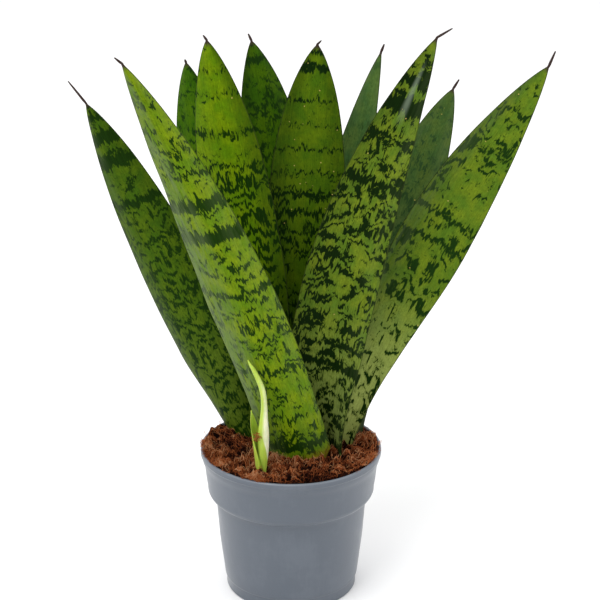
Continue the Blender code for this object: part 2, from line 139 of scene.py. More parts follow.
SKINS = {
    "leaf_front_broad": Skin(
        (0.114, 0.188, 0.004), (0.006, 0.020, 0.001),
        ((0.045, 0.026, 0.9), (0.255, 0.016, 0.7), (0.46, 0.018, 0.7), (0.605, 0.028, 1.0),
         (0.680, 0.024, 1.0), (0.75, 0.012, 0.7), (0.81, 0.012, 0.6), (0.925, 0.012, 0.6)),
        8.5, 0.40, 2.5, 0.30, (0.9, 1.0), 0.26, (0.0, 0.0), (0.72, 0.20), 0.0, 0.5,
        grain=0.18, flank=-0.20),
    "leaf_left_outer": Skin(
        (0.044, 0.088, 0.003), (0.005, 0.017, 0.001),
        ((0.715, 0.024, 0.9), (0.84, 0.04, 0.9), (0.90, 0.05, 1.0), (0.96, 0.05, 0.9)),
        8.0, 0.44, 3.5, 0.15, (0.66, 0.72), 0.34, (0.0, 0.30), (0.25, 0.0),
        low=(0.062, 0.100, 0.008), low_from=0.5),
    "leaf_left_back": Skin(
        (0.038, 0.100, 0.002), (0.006, 0.022, 0.002),
        ((0.80, 0.010, 0.4),),
        8.0, 0.36, 3.0, 0.30, (0.9, 1.0), 0.30, (0.0, 0.7), (0.1, 0.0)),
    # This inner leaf's low ground is painted shade: its foot darkens where the leaves crowd.
    "leaf_left_inner": Skin(
        (0.100, 0.180, 0.002), (0.005, 0.019, 0.001),
        ((0.66, 0.014, 0.7), (0.71, 0.012, 0.6), (0.79, 0.030, 0.55), (0.88, 0.012, 0.6),
         (0.94, 0.016, 0.55)),
        9.0, 0.56, 2.5, 0.0, (0.66, 0.76), 0.20, (0.0, 0.55), (0.05, 0.0), 0.1,
        low=(0.062, 0.104, 0.002), low_from=0.6),
    "leaf_back_middle": Skin(
        (0.034, 0.084, 0.002), (0.006, 0.020, 0.002),
        ((0.60, 0.03, 0.6), (0.72, 0.02, 0.5), (0.845, 0.02, 0.6), (0.96, 0.03, 0.7)),
        8.0, 0.36, 3.0, 0.30, (0.85, 0.95), 0.36, (0.1, 0.6), (0.05, 0.0)),
    # This inner leaf's low ground is painted shade: its foot darkens where the leaves crowd.
    "leaf_centre": Skin(
        (0.064, 0.122, 0.003), (0.003, 0.012, 0.001),
        ((0.50, 0.012, 0.7), (0.545, 0.012, 0.7), (0.595, 0.012, 0.8), (0.64, 0.014, 0.9),
         (0.695, 0.010, 0.55), (0.755, 0.012, 0.6), (0.815, 0.010, 0.55), (0.875, 0.012, 0.55),
         (0.953, 0.018, 0.95), (0.995, 0.02, 0.9)),
        9.0, 0.42, 1.6, 0.15, (0.60, 0.72), 0.16, (0.35, 0.45), (0.0, 0.0), 0.8,
        low=(0.024, 0.056, 0.001), low_from=0.75),
    "leaf_back_right": Skin(
        (0.058, 0.116, 0.026), (0.026, 0.058, 0.014),
        ((0.62, 0.02, 0.5), (0.70, 0.03, 0.6), (0.82, 0.02, 0.5), (0.97, 0.04, 0.7)),
        12.0, 0.24, 3.0, 0.5, (0.8, 0.9), 0.22, (0.1, 0.1), (0.15, 0.25), 0.15),
    # This leaf carries the painted highlight streak near its tip.
    "leaf_front_right": Skin(
        (0.096, 0.150, 0.010), (0.003, 0.010, 0.001),
        ((0.03, 0.04, 0.7), (0.235, 0.02, 0.9), (0.29, 0.02, 0.6), (0.685, 0.022, 0.80),
         (0.78, 0.016, 0.6), (0.86, 0.04, 1.0), (0.90, 0.04, 1.0)),
        9.0, 0.44, 4.0, 0.20, (0.78, 0.84), 0.41, (0.0, 0.2), (0.1, 0.0), 0.1,
        low=(0.165, 0.215, 0.050), low_from=0.42, grain=0.155, streak=(0.10, 0.50)),
    "leaf_right_back": Skin(
        (0.054, 0.100, 0.020), (0.018, 0.042, 0.012),
        ((0.45, 0.04, 0.6), (0.60, 0.03, 0.5), (0.70, 0.04, 0.6), (0.80, 0.04, 0.5)),
        10.0, 0.24, 3.0, 0.5, (0.8, 0.9), 0.30, (0.1, 0.1), (0.25, 0.25), 0.15,
        low=(0.066, 0.096, 0.050), low_from=0.85),
    "leaf_right_outer": Skin(
        (0.090, 0.150, 0.009), (0.006, 0.020, 0.002),
        ((0.10, 0.010, 0.6), (0.17, 0.010, 0.6), (0.57, 0.014, 0.8), (0.63, 0.014, 0.7),
         (0.80, 0.020, 0.5), (0.90, 0.020, 0.5)),
        12.0, 0.46, 3.5, 0.32, (0.9, 1.0), 0.24, (0.05, 0.3), (0.0, 0.25), 0.25,
        low=(0.390, 0.460, 0.120), low_from=0.50),
}
# The wisp of coir that the shoot has carried up with it.
WISP_PLACE = (-0.0212, -0.0362, 0.1225)
WISP_FIBRES = 46
# x, y, z and radius along the sprout's rolled spear, from its buried end to its tip.
SPEAR = (
    (-0.0184, -0.0315, 0.082, 0.0010),
    (-0.0181, -0.0315, 0.098, 0.0024),
    (-0.0178, -0.0316, 0.111, 0.0035),
    (-0.0177, -0.0319, 0.122, 0.0037),
    (-0.0173, -0.0324, 0.133, 0.0027),
    (-0.0170, -0.0330, 0.143, 0.0020),
    (-0.0178, -0.0338, 0.153, 0.0019),
    (-0.0204, -0.0345, 0.1615, 0.0017),
    (-0.0235, -0.0352, 0.1685, 0.0013),
    (-0.0256, -0.0356, 0.1725, 0.0008),
    (-0.0269, -0.0360, 0.1755, 0.0003),
)


# ---- Settings ----
def length(name, description, default):
    return FloatProperty(
        name=name, description=description, default=default, min=0.0, precision=5, unit="LENGTH"
    )


def colour(name, description, default):
    return FloatVectorProperty(
        name=name, description=description, default=default, subtype="COLOR", min=0.0, max=1.0
    )


class PotSettings(bpy.types.PropertyGroup):
    wall: length("Wall", "Thickness of the pot's wall", 0.0015)
    lip: length("Lip", "Height of the rolled lip", 0.0034)
    facets: IntProperty(name="Facets", description="Steps round the pot", default=160, min=24)
    plastic: colour("Plastic", "The grey-blue of the pot", (0.071, 0.087, 0.111))
    # This paler grey also paints the highlight along the lip's top.
    scuff_and_highlight: colour("Scuffs", "The paler grey of rubbed plastic", (0.160, 0.180, 0.212))


class CoirSettings(bpy.types.PropertyGroup):
    lump: length("Lumps", "Height of the coir's lumps", 0.0115)
    edge: length("Edge", "How far the coir rises towards the pot's wall", 0.0044)
    fibres: IntProperty(name="Fibres", description="Number of loose fibres", default=4200, min=0)
    crumbs: IntProperty(name="Crumbs", description="Number of pith crumbs", default=700, min=0)
    fibre_radius: length("Fibre radius", "Radius of a thick fibre", 0.00026)
    russet: colour("Russet", "Colour of the lit coir", (0.160, 0.036, 0.009))
    # This dark colour is both painted shade in the coir's pockets and the darkest fibres' colour.
    umber_and_pocket_shade: colour("Umber", "Colour of the coir's hollows", (0.007, 0.0010, 0.0003))
    tan: colour("Tan", "Colour of the bright fibres", (0.370, 0.110, 0.034))
    straw: colour("Straw", "Colour of the palest fibres", (0.500, 0.250, 0.120))


class LeafSettings(bpy.types.PropertyGroup):
    thickness: length("Thickness", "A blade's thickness near its foot", 0.0034)
    tip_thickness: length("Tip thickness", "A blade's thickness at its tip", 0.0014)
    buried: length("Buried depth", "How far a blade reaches below the coir", 0.018)
    spike: length("Spike width", "Width of the hard tip where it starts", 0.0016)
    rows: IntProperty(name="Rows", description="Cross-sections along a blade", default=150, min=8)
    columns: IntProperty(name="Columns", description="Points round a blade", default=44, min=8)
    ripple: length("Ripple", "Height of the waves along a margin", 0.0007)
    furrow: length("Furrow", "Depth of the lengthwise furrows", 0.00022)
    margin: colour("Margin", "The thin dark line round a blade", (0.020, 0.028, 0.008))
    horn: colour("Horn", "The dry brown of a spike", (0.035, 0.022, 0.018))
    cork: colour("Cork", "The colour of corky flecks", (0.380, 0.300, 0.080))
    # The colour of the grey-green painted sheen near a blade's margins.
    painted_sheen: colour("Wax", "The grey-green bloom near the margins", (0.125, 0.172, 0.072))


class SproutSettings(bpy.types.PropertyGroup):
    sheath_thickness: length("Sheath", "Thickness of the sheath", 0.0010)
    lime: colour("Lime", "The spear's fresh colour", (0.400, 0.530, 0.060))
    cream: colour("Cream", "The spear's pale side", (0.740, 0.730, 0.520))
    green: colour("Green", "The sheath's colour", (0.270, 0.400, 0.030))


class StageSettings(bpy.types.PropertyGroup):
    floor: length("Floor", "Side of the floor", 14.0)
    lens: FloatProperty(name="Lens", description="Focal length in mm", default=108.0, min=1.0)
    pitch: FloatProperty(
        name="Pitch", description="The camera's tilt below the horizon",
        default=math.radians(20.3), subtype="ANGLE",
    )


def settings(name):
    return getattr(bpy.context.scene, "snake_plant_" + name)


# ---- Shader building ----
class Shader:
    """One material and short ways to add and join its nodes."""

    def __init__(self, name):
        self.material = bpy.data.materials.new(name)
        self.material.use_nodes = True
        self.nodes = self.material.node_tree.nodes
        self.links = self.material.node_tree.links
        self.surface = self.nodes["Principled BSDF"]

    def feed(self, socket, value):
        """Link a socket to another, or set its number or colour."""
        if isinstance(value, bpy.types.NodeSocket):
            self.links.new(value, socket)
        elif hasattr(socket.default_value, "__len__") and len(socket.default_value) == 4:
            socket.default_value = (*value[:3], 1.0)
        else:
            socket.default_value = value

    def attribute(self, name):
        node = self.nodes.new("ShaderNodeAttribute")
        node.attribute_name = name
        return node.outputs["Vector"]

    def place(self):
        """The point's own place on the object, in metres."""
        return self.nodes.new("ShaderNodeTexCoord").outputs["Object"]

    def split(self, vector):
        node = self.nodes.new("ShaderNodeSeparateXYZ")
        self.feed(node.inputs[0], vector)
        return node.outputs

    def join(self, x, y, z):
        node = self.nodes.new("ShaderNodeCombineXYZ")
        for socket, value in zip(node.inputs, (x, y, z)):
            self.feed(socket, value)
        return node.outputs[0]

    def math(self, operation, a, b=0.0):
        node = self.nodes.new("ShaderNodeMath")
        node.operation = operation
        self.feed(node.inputs[0], a)
        self.feed(node.inputs[1], b)
        return node.outputs[0]

    def plus(self, a, b):
        return self.math("ADD", a, b)

    def less(self, a, b):
        return self.math("SUBTRACT", a, b)

    def times(self, a, b):
        return self.math("MULTIPLY", a, b)

    def most(self, a, b):
        return self.math("MAXIMUM", a, b)

    def shaded(self, colour, shade):
        """A colour times a grey level."""
        return self.mix(1.0, colour, self.join(shade, shade, shade), "MULTIPLY")

    def stretch(self, vector, factors):
        node = self.nodes.new("ShaderNodeVectorMath")
        node.operation = "MULTIPLY"
        self.feed(node.inputs[0], vector)
        node.inputs[1].default_value = factors
        return node.outputs[0]

    def noise(self, vector, scale, detail=2.0, roughness=0.5):
        node = self.nodes.new("ShaderNodeTexNoise")
        self.feed(node.inputs["Vector"], vector)
        node.inputs["Scale"].default_value = scale
        node.inputs["Detail"].default_value = detail
        node.inputs["Roughness"].default_value = roughness
        return node.outputs[0]

    def cells(self, vector, scale, output="Distance"):
        node = self.nodes.new("ShaderNodeTexVoronoi")
        self.feed(node.inputs["Vector"], vector)
        node.inputs["Scale"].default_value = scale
        return node.outputs[output]

    def step(self, value, low, high, to_low=0.0, to_high=1.0):
        """A soft step of value, from to_low at low to to_high at high."""
        node = self.nodes.new("ShaderNodeMapRange")
        node.interpolation_type = "SMOOTHSTEP"
        self.feed(node.inputs["Value"], value)
        self.feed(node.inputs["From Min"], low)
        self.feed(node.inputs["From Max"], high)
        self.feed(node.inputs["To Min"], to_low)
        self.feed(node.inputs["To Max"], to_high)
        return node.outputs[0]

    def ramp(self, value, stops):
        """A ramp of grey levels or colours through (place, level) stops."""
        node = self.nodes.new("ShaderNodeValToRGB")
        self.feed(node.inputs[0], value)
        elements = node.color_ramp.elements
        while len(elements) < len(stops):
            elements.new(1.0)
        for element, (place, level) in zip(elements, stops):
            element.position = place
            tint = level if hasattr(level, "__len__") else (level, level, level)
            element.color = (*tint[:3], 1.0)
        return node.outputs[0]

    def mix(self, factor, a, b, blend="MIX"):
        node = self.nodes.new("ShaderNodeMix")
        node.data_type = "RGBA"
        node.blend_type = blend
        self.feed(node.inputs["Factor"], factor)
        self.feed(node.inputs[6], a)
        self.feed(node.inputs[7], b)
        return node.outputs[2]

    def swing(self, value, size):
        """A noise value swung about zero, as far as size."""
        return self.times(self.less(value, 0.5), 2.0 * size)

    def bump(self, height, strength, distance):
        node = self.nodes.new("ShaderNodeBump")
        node.inputs["Strength"].default_value = strength
        node.inputs["Distance"].default_value = distance
        self.feed(node.inputs["Height"], height)
        return node.outputs[0]

    def finish(self, colour, roughness, normal, fixed):
        self.feed(self.surface.inputs["Base Color"], colour)
        self.feed(self.surface.inputs["Roughness"], roughness)
        self.feed(self.surface.inputs["Normal"], normal)
        for name, value in fixed.items():
            self.surface.inputs[name].default_value = value
        return self.material


# ---- Mesh building ----
def add_piece(name, mesh, material, slot, *nodes):
    """Link a finished mesh as a piece of the plant that stands for those nodes."""
    mesh.materials.append(material)
    mesh.shade_smooth()
    piece = bpy.data.objects.new(name, mesh)
    bpy.context.scene.collection.objects.link(piece)
    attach(piece, "root")
    if nodes:
        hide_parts(*nodes)
    return piece


def mesh_from(name, points, faces):
    mesh = bpy.data.meshes.new(name)
    mesh.from_pydata([tuple(point) for point in points], [], faces)
    mesh.validate()
    return mesh


def set_attribute(mesh, name, values):
    layer = mesh.attributes.new(name, "FLOAT_VECTOR", "POINT")
    layer.data.foreach_set("vector", np.asarray(values, dtype=np.float32).ravel())


def ring_faces(rings, count, first=0):
    """Quads between rings of count points each, with both ends closed."""
    faces = []
    for ring in range(rings - 1):
        start = first + ring * count
        for k in range(count):
            after = (k + 1) % count
            faces.append((start + k, start + after, start + count + after, start + count + k))
    faces.append(tuple(first + k for k in reversed(range(count))))
    faces.append(tuple(first + (rings - 1) * count + k for k in range(count)))
    return faces


def smooth(x):
    """A soft step from 0 to 1."""
    x = min(max(x, 0.0), 1.0)
    return x * x * (3 - 2 * x)


def blend(start, end, part):
    return start + (end - start) * part


# ---- Pot ----
# Radius and height round the pot. Places near the rim are given back from it or down from it.
LIP_ROLL = 0.0012
LIP_EDGE = 0.0007
UNDER_LIP = [(0.0006, 0.0009), (0.0008, 0.0020)]
COLLAR = [(0.0013, 0.0078), (0.0017, 0.0085), (0.0027, 0.0125), (0.0036, 0.0210), (0.0045, 0.0270)]
SHOULDER_BACK = 0.0097
SHOULDER_HEIGHT = 0.0716
SHOULDER_ROUND = 0.0052
NECK = [(0.0091, 0.0660), (0.0097, 0.0646), (0.0100, 0.0628)]
BODY = [(0.0480, 0.0360), (0.0448, 0.0095)]
FOOT = [(0.0447, 0.0086), (0.0440, 0.0078), (0.0437, 0.0070), (0.0437, 0.0014)]
FOOT_CENTRE = (0.0424, 0.0013)
FOOT_ROUND = 0.0013
UNDERSIDE = [(0.0, 0.0), (0.0, 0.0020), (0.0404, 0.0020)]
MOUTH = (0.0046, 0.0014)
DRAINS = 6
DRAIN_RADIUS = 0.004
DRAIN_CIRCLE = 0.034


def arc(centre, radius, start, end, steps):
    """Points on an arc in the profile plane, angles in degrees from the outward direction."""
    points = []
    for k in range(steps + 1):
        angle = math.radians(start + (end - start) * k / steps)
        points.append((centre[0] + radius * math.cos(angle), centre[1] + radius * math.sin(angle)))
    return points


def inset(outline, distance):
    """A downward outline moved in by a distance, square to its own run."""
    points = []
    for k, (radius, height) in enumerate(outline):
        before = outline[max(k - 1, 0)]
        after = outline[min(k + 1, len(outline) - 1)]
        run = Vector((after[0] - before[0], after[1] - before[1])).normalized()
        points.append((radius + run.y * distance, height - run.x * distance))
    return points


def pot_profile(pot):
    """The pot's closed outline as radius and height: lip, collar, shoulder, body, foot, inside."""
    rim = RIM_RADIUS
    top = POT_HEIGHT
    lip = arc((rim - LIP_ROLL, top - LIP_ROLL), LIP_ROLL, 100, 0, 8)
    lip += arc((rim - LIP_EDGE, top - pot.lip), LIP_EDGE, 0, -60, 4)
    under_lip = [(rim - back, top - pot.lip - down) for back, down in UNDER_LIP]
    collar = under_lip + [(rim - back, top - down) for back, down in COLLAR]
    shoulder = arc((rim - SHOULDER_BACK, SHOULDER_HEIGHT), SHOULDER_ROUND, 0, -74, 12)
    body = [(rim - back, height) for back, height in NECK] + BODY
    foot = FOOT + arc(FOOT_CENTRE, FOOT_ROUND, 0, -90, 4)
    inside = inset(collar + shoulder + body, pot.wall)[::-1]
    mouth = [(MOUTH_RADIUS, top - down) for down in MOUTH]
    return lip + collar + shoulder + body + foot + UNDERSIDE + inside + mouth


def drain_cutter():
    """The drain holes in the pot's floor, as one mesh."""
    bm = bmesh.new()
    for k in range(DRAINS):
        angle = math.tau * (k + 0.5) / DRAINS
        outward = Vector((math.cos(angle), math.sin(angle), 0.0))
        hole = bmesh.ops.create_cone(
            bm, cap_ends=True, segments=32, radius1=DRAIN_RADIUS, radius2=DRAIN_RADIUS,
            depth=2 * DRAIN_RADIUS,
        )
        bmesh.ops.translate(bm, verts=hole["verts"], vec=outward * DRAIN_CIRCLE)
    mesh = bpy.data.meshes.new("drain_cutter")
    bm.to_mesh(mesh)
    bm.free()
    cutter = bpy.data.objects.new("drain_cutter", mesh)
    bpy.context.scene.collection.objects.link(cutter)
    return cutter


def pot_material(pot):
    """Moulded plastic: a fine satin grain, rubbed paler round the collar, and a painted highlight
    along the lip's top edge.
    """
    shader = Shader("moulded_plastic")
    place = shader.place()
    z = shader.split(place)[2]
    grain = shader.noise(place, 2600.0, 3.0, 0.6)
    cloud = shader.noise(place, 34.0, 4.0, 0.6)
    drag = shader.noise(shader.stretch(place, (1.0, 1.0, 0.16)), 420.0, 4.0, 0.7)
    rubbed = shader.step(shader.plus(cloud, shader.times(drag, 0.35)), 0.62, 0.84)
    # Painted highlight: the top of the lip is mixed towards the paler grey.
    lip = shader.step(z, POT_HEIGHT - 0.0016, POT_HEIGHT - 0.0002)
    pale = shader.plus(shader.times(rubbed, 0.17), shader.times(lip, 0.5))
    tint = shader.mix(pale, pot.plastic, pot.scuff_and_highlight)
    shade = shader.step(grain, 0.30, 0.70, 0.93, 1.04)
    tint = shader.shaded(tint, shade)
    gloss = shader.step(shader.plus(cloud, shader.times(drag, 0.4)), 0.45, 0.95, 0.30, 0.46)
    relief = shader.plus(shader.times(grain, 0.6), shader.times(drag, 0.5))
    fixed = {"IOR": 1.60, "Sheen Weight": 0.15, "Sheen Roughness": 0.35}
    return shader.finish(tint, gloss, shader.bump(relief, 0.10, 0.00025), fixed)


class SNAKEPLANT_OT_add_pot(bpy.types.Operator):
    """Add the nursery pot with its lip, collar, foot and drain holes"""

    bl_idname = "snake_plant.add_pot"
    bl_label = "Pot"
    bl_options = {"REGISTER", "UNDO"}

    def execute(self, context):
        pot = settings("pot")
        profile = pot_profile(pot)
        outline = [(radius, 0.0, height) for radius, height in profile]
        edges = [(k, (k + 1) % len(outline)) for k in range(len(outline))]
        mesh = bpy.data.meshes.new("pot")
        mesh.from_pydata(outline, edges, [])
        turned = bpy.data.objects.new("pot_turned", mesh)
        context.scene.collection.objects.link(turned)
        screw = turned.modifiers.new("Turn", "SCREW")
        screw.steps = pot.facets
        screw.render_steps = pot.facets
        screw.use_merge_vertices = True
        screw.merge_threshold = 0.00001
        cutter = drain_cutter()
        drain = turned.modifiers.new("Drain", "BOOLEAN")
        drain.solver = "EXACT"
        drain.object = cutter
        context.view_layer.update()
        graph = context.evaluated_depsgraph_get()
        finished = bpy.data.meshes.new_from_object(turned.evaluated_get(graph))
        bpy.data.objects.remove(turned)
        bpy.data.objects.remove(cutter)
        finished.materials.clear()
        add_piece("pot", finished, pot_material(pot), "pot_plastic", "nursery_pot")
        return {"FINISHED"}


# ---- Coir ----
# Radius and height down the coir's side, inside the pot's wall.
COIR_SIDE = ((0.0554, 0.0880), (0.0526, 0.0735), (0.0478, 0.0660), (0.0405, COIR_LOW.z))
# The hollow in front of the leaves: where it lies and how wide it is.
HOLLOW_PLACE = (0.012, -0.052)
HOLLOW_WIDTH = 0.022
# Where coir has spilled over the lip: the way round from +X and the spread, in degrees.
SPILLS = ((246, 4), (246, 4), (214, 5), (188, 8), (336, 9))
FIBRE_REACH = MOUTH_RADIUS - 0.0004
STRAY_REACH = RIM_RADIUS + 0.0006


def coir_relief(x, y):
    """The lumps and pockets of the coir at a place, about zero."""
    here = Vector((x, y, 0.0))
    mound = noise.noise(here * 45 + Vector((3.1, 0.0, 0.0)))
    clump = noise.noise(here * 150 + Vector((0.0, 7.7, 0.0)))
    clod = noise.noise(here * 330 + Vector((0.0, 0.0, 5.2)))
    calm = 1.0 - 0.45 * min(math.hypot(x, y) / COIR_RADIUS, 1.0) ** 4
    away = math.hypot(x - HOLLOW_PLACE[0], y - HOLLOW_PLACE[1])
    hollow = math.exp(-((away / HOLLOW_WIDTH) ** 2))
    return calm * (0.30 * mound + 0.65 * clump + 0.30 * clod) - 0.20 * hollow


def coir_height(x, y):
    """The height of the coir's lumpy surface at a place in the pot."""
    coir = settings("coir")
    radius = min(math.hypot(x, y) / COIR_RADIUS, 1.0)
    return COIR_TOP + coir.edge * radius**3 + coir.lump * coir_relief(x, y)


def coir_mesh(rings=110, spokes=300):
    """The coir's body: a lumpy top over a plain side and underside."""
    points = [(0.0, 0.0, coir_height(0.0, 0.0))]
    shades = [(coir_relief(0.0, 0.0), 0.0, 0.0)]
    for ring in range(1, rings + 1):
        radius = FIBRE_REACH * ring / rings
        for k in range(spokes):
            angle = math.tau * k / spokes
            x = radius * math.cos(angle)
            y = radius * math.sin(angle)
            points.append((x, y, coir_height(x, y)))
            shades.append((coir_relief(x, y), 0.0, 0.0))
    for radius, height in COIR_SIDE:
        for k in range(spokes):
            angle = math.tau * k / spokes
            points.append((radius * math.cos(angle), radius * math.sin(angle), height))
            shades.append((0.0, 0.0, 0.0))
    faces = [(0, 1 + k, 1 + (k + 1) % spokes) for k in range(spokes)]
    bands = rings + len(COIR_SIDE) - 1
    for ring in range(bands):
        start = 1 + ring * spokes
        for k in range(spokes):
            after = (k + 1) % spokes
            faces.append((start + k, start + spokes + k, start + spokes + after, start + after))
    last = 1 + bands * spokes
    faces.append(tuple(last + k for k in range(spokes))[::-1])
    mesh = mesh_from("coir", points, faces)
    # The relief goes to the material as the shade attribute, where it paints shade into the
    # pockets.
    set_attribute(mesh, "shade", shades)
    return mesh


def coir_material(coir):
    """Matted fibre: tangled streaks, painted shade darkening the pockets, and russet on the lumps.
    """
    shader = Shader("matted_coir")
    place = shader.place()
    relief = shader.split(shader.attribute("shade"))[0]
    swirl = shader.noise(place, 240.0, 2.0)
    bent = shader.nodes.new("ShaderNodeVectorMath")
    bent.operation = "MULTIPLY_ADD"
    shader.feed(bent.inputs[0], shader.join(swirl, swirl, swirl))
    bent.inputs[1].default_value = (0.006, -0.005, 0.004)
    shader.feed(bent.inputs[2], place)
    strands = shader.noise(shader.stretch(bent.outputs[0], (1.0, 3.2, 1.0)), 900.0, 4.0, 0.7)
    across = shader.noise(shader.stretch(bent.outputs[0], (3.2, 1.0, 1.0)), 800.0, 4.0, 0.7)
    tangle = shader.most(strands, across)
    # Painted shade: where the relief is low, in the pockets, the colour turns dark.
    light = shader.plus(tangle, shader.times(relief, 1.1))
    tint = shader.mix(shader.step(light, 0.58, 1.0), coir.umber_and_pocket_shade, coir.russet)
    fixed = {"IOR": 1.4, "Specular IOR Level": 0.1}
    return shader.finish(tint, 0.95, shader.bump(tangle, 1.0, 0.0014), fixed)


def strand_path(rng, start, extent, steps, arch):
    """A curling fibre: it leaves the coir, arches up to a height and dips back into it."""
    x, y = start
    heading = rng.uniform(0.0, math.tau)
    bend = rng.choice((-1.0, 1.0)) * rng.uniform(0.05, 0.42)
    level = coir_height(x, y)
    top = arch * rng.uniform(0.15, 1.0)
    beat = rng.uniform(1.0, 3.0)
    path = []
    for k in range(steps + 1):
        part = k / steps
        rise = top * math.sin(math.pi * part) - 0.0003
        rise += 0.35 * top * math.sin(math.tau * beat * part)
        height = blend(level, coir_height(x, y), 0.75) + rise
        spread = math.hypot(x, y)
        if spread > MOUTH_RADIUS - 0.0010:
            height = max(height, POT_HEIGHT + 0.0003 + 0.6 * top * math.sin(math.pi * part))
        path.append(Vector((x, y, height)))
        bend += rng.uniform(-0.22, 0.22)
        bend = max(min(bend, 0.75), -0.75)
        heading += bend
        pace = extent / steps * rng.uniform(0.7, 1.2)
        x += math.cos(heading) * pace
        y += math.sin(heading) * pace
    return path


def add_tube(points, path, radii, faces, sides=3):
    """Append a thin tube along a path to lists of points and faces."""
    first = len(points)
    for k, centre in enumerate(path):
        before = path[max(k - 1, 0)]
        after = path[min(k + 1, len(path) - 1)]
        run = (after - before).normalized()
        side = run.cross(Vector((0.0, 0.0, 1.0)))
        side = side.normalized() if side.length > 0.01 else Vector((1.0, 0.0, 0.0))
        up = side.cross(run)
        for step in range(sides):
            angle = math.tau * step / sides
            points.append(centre + (side * math.cos(angle) + up * math.sin(angle)) * radii[k])
    faces.extend(ring_faces(len(path), sides, first))


def fibre_mesh(name, starts, rng, extent, arch, radius, steps, reach):
    """Loose fibres from those starts, each with its own tone, darker as painted shade where it
    starts in a pocket, kept within a reach.
    """
    points = []
    faces = []
    shades = []
    for start in starts:
        path = strand_path(rng, start, rng.uniform(*extent), steps, arch)
        while path and math.hypot(path[-1].x, path[-1].y) > reach:
            path.pop()
        thick = radius * rng.uniform(0.35, 1.0)
        # Painted shade: a fibre that starts low in a pocket gets a darker tone.
        shade = 0.9 * rng.random() + 2.2 * coir_relief(*start)
        if len(path) < 4 or max(math.hypot(spot.x, spot.y) for spot in path) > reach:
            continue
        radii = [thick * (1 - 0.5 * k / len(path)) for k in range(len(path))]
        before = len(points)
        add_tube(points, path, radii, faces)
        shades += [(shade, 0.0, 0.0)] * (len(points) - before)
    mesh = mesh_from(name, points, faces)
    set_attribute(mesh, "shade", shades)
    return mesh


def scattered(rng, count, spread):
    """Places strewn evenly over a disc of that radius."""
    places = []
    for _ in range(count):
        away = spread * math.sqrt(rng.random())
        angle = rng.uniform(0.0, math.tau)
        places.append((away * math.cos(angle), away * math.sin(angle)))
    return places


def spilled(rng, count):
    """Places on the pot's lip where a little coir has spilled over it."""
    places = []
    for k in range(count):
        angle = math.radians(rng.gauss(*SPILLS[k % len(SPILLS)]))
        away = rng.uniform(MOUTH_RADIUS - 0.0035, RIM_RADIUS - 0.0005)
        places.append((away * math.cos(angle), away * math.sin(angle)))
    return places


def crumb_mesh(places, rng):
    """Small flaky crumbs of pith resting on the coir or on the lip."""
    bm = bmesh.new()
    shades = []
    for x, y in places:
        size = 0.0003 + 0.0009 * rng.random() ** 3
        made = bmesh.ops.create_icosphere(bm, subdivisions=1, radius=size)
        stretch = Vector((rng.uniform(0.8, 2.2), rng.uniform(0.4, 0.9), rng.uniform(0.3, 0.7)))
        turn = rng.uniform(0.0, math.tau)
        shade = rng.random()
        height = coir_height(x, y) if math.hypot(x, y) < MOUTH_RADIUS else POT_HEIGHT
        where = Vector((x, y, height + size * 0.2))
        for vert in made["verts"]:
            jitter = Vector([rng.uniform(-0.35, 0.35) * size for _ in range(3)])
            flake = Vector([a * b for a, b in zip(vert.co, stretch)]) + jitter
            flake.rotate(Euler((rng.uniform(-0.2, 0.2), rng.uniform(-0.2, 0.2), turn)))
            vert.co = flake + where
            shades.append((shade, 1.0, 0.0))
    mesh = bpy.data.meshes.new("coir_crumbs")
    bm.to_mesh(mesh)
    bm.free()
    set_attribute(mesh, "shade", shades)
    return mesh


def fibre_material(name, dark, light, pale):
    """Dry fibre: each one's own tone, with painted shade on fibres that start in the coir's
    pockets, mottled along its length.
    """
    shader = Shader(name)
    place = shader.place()
    own = shader.split(shader.attribute("shade"))[0]
    mottle = shader.noise(place, 600.0, 3.0, 0.6)
    tone = shader.plus(own, shader.swing(mottle, 0.45))
    tint = shader.ramp(tone, ((0.22, dark), (0.66, light), (0.86, light), (1.0, pale)))
    fixed = {"IOR": 1.45, "Specular IOR Level": 0.1}
    return shader.finish(tint, 0.70, shader.bump(mottle, 0.4, 0.0003), fixed)


class SNAKEPLANT_OT_add_coir(bpy.types.Operator):
    """Add the coir, its loose fibres and its crumbs"""

    bl_idname = "snake_plant.add_coir"
    bl_label = "Coir"
    bl_options = {"REGISTER", "UNDO"}

    def execute(self, context):
        coir = settings("coir")
        rng = random.Random(11)
        add_piece("coir", coir_mesh(), coir_material(coir), "coir", "coir_substrate")
        dull = fibre_material("brown_fibre", coir.umber_and_pocket_shade, coir.russet, coir.tan)
        bright = fibre_material("russet_fibre", coir.russet, coir.tan, coir.straw)
        inside = FIBRE_REACH
        thick = coir.fibre_radius
        for name in ("coir_fibres_matted", "coir_fibres_crossed"):
            strewn = scattered(rng, coir.fibres // 2, inside)
            matted = fibre_mesh(name, strewn, rng, (0.005, 0.012), 0.0012, thick, 12, inside)
            add_piece(name, matted, dull, "coir")
        lumps = [spot for spot in scattered(rng, coir.fibres, inside) if coir_relief(*spot) > 0.0]
        raised = fibre_mesh("coir_fibres_raised", lumps, rng,
                            (0.004, 0.011), 0.0026, thick * 0.9, 12, inside)
        strewn = spilled(rng, coir.fibres // 6) + scattered(rng, coir.fibres // 60, inside)
        stray = fibre_mesh("coir_fibres_stray", strewn, rng, (0.003, 0.008), 0.0034,
                           thick * 0.8, 14, STRAY_REACH)
        add_piece("coir_fibres_raised", raised, bright, "coir")
        add_piece("coir_fibres_stray", stray, bright, "coir")
        crumbs = scattered(rng, coir.crumbs, inside) + spilled(rng, coir.crumbs // 12)
        add_piece("coir_crumbs", crumb_mesh(crumbs, rng), dull, "coir")
        return {"FINISHED"}


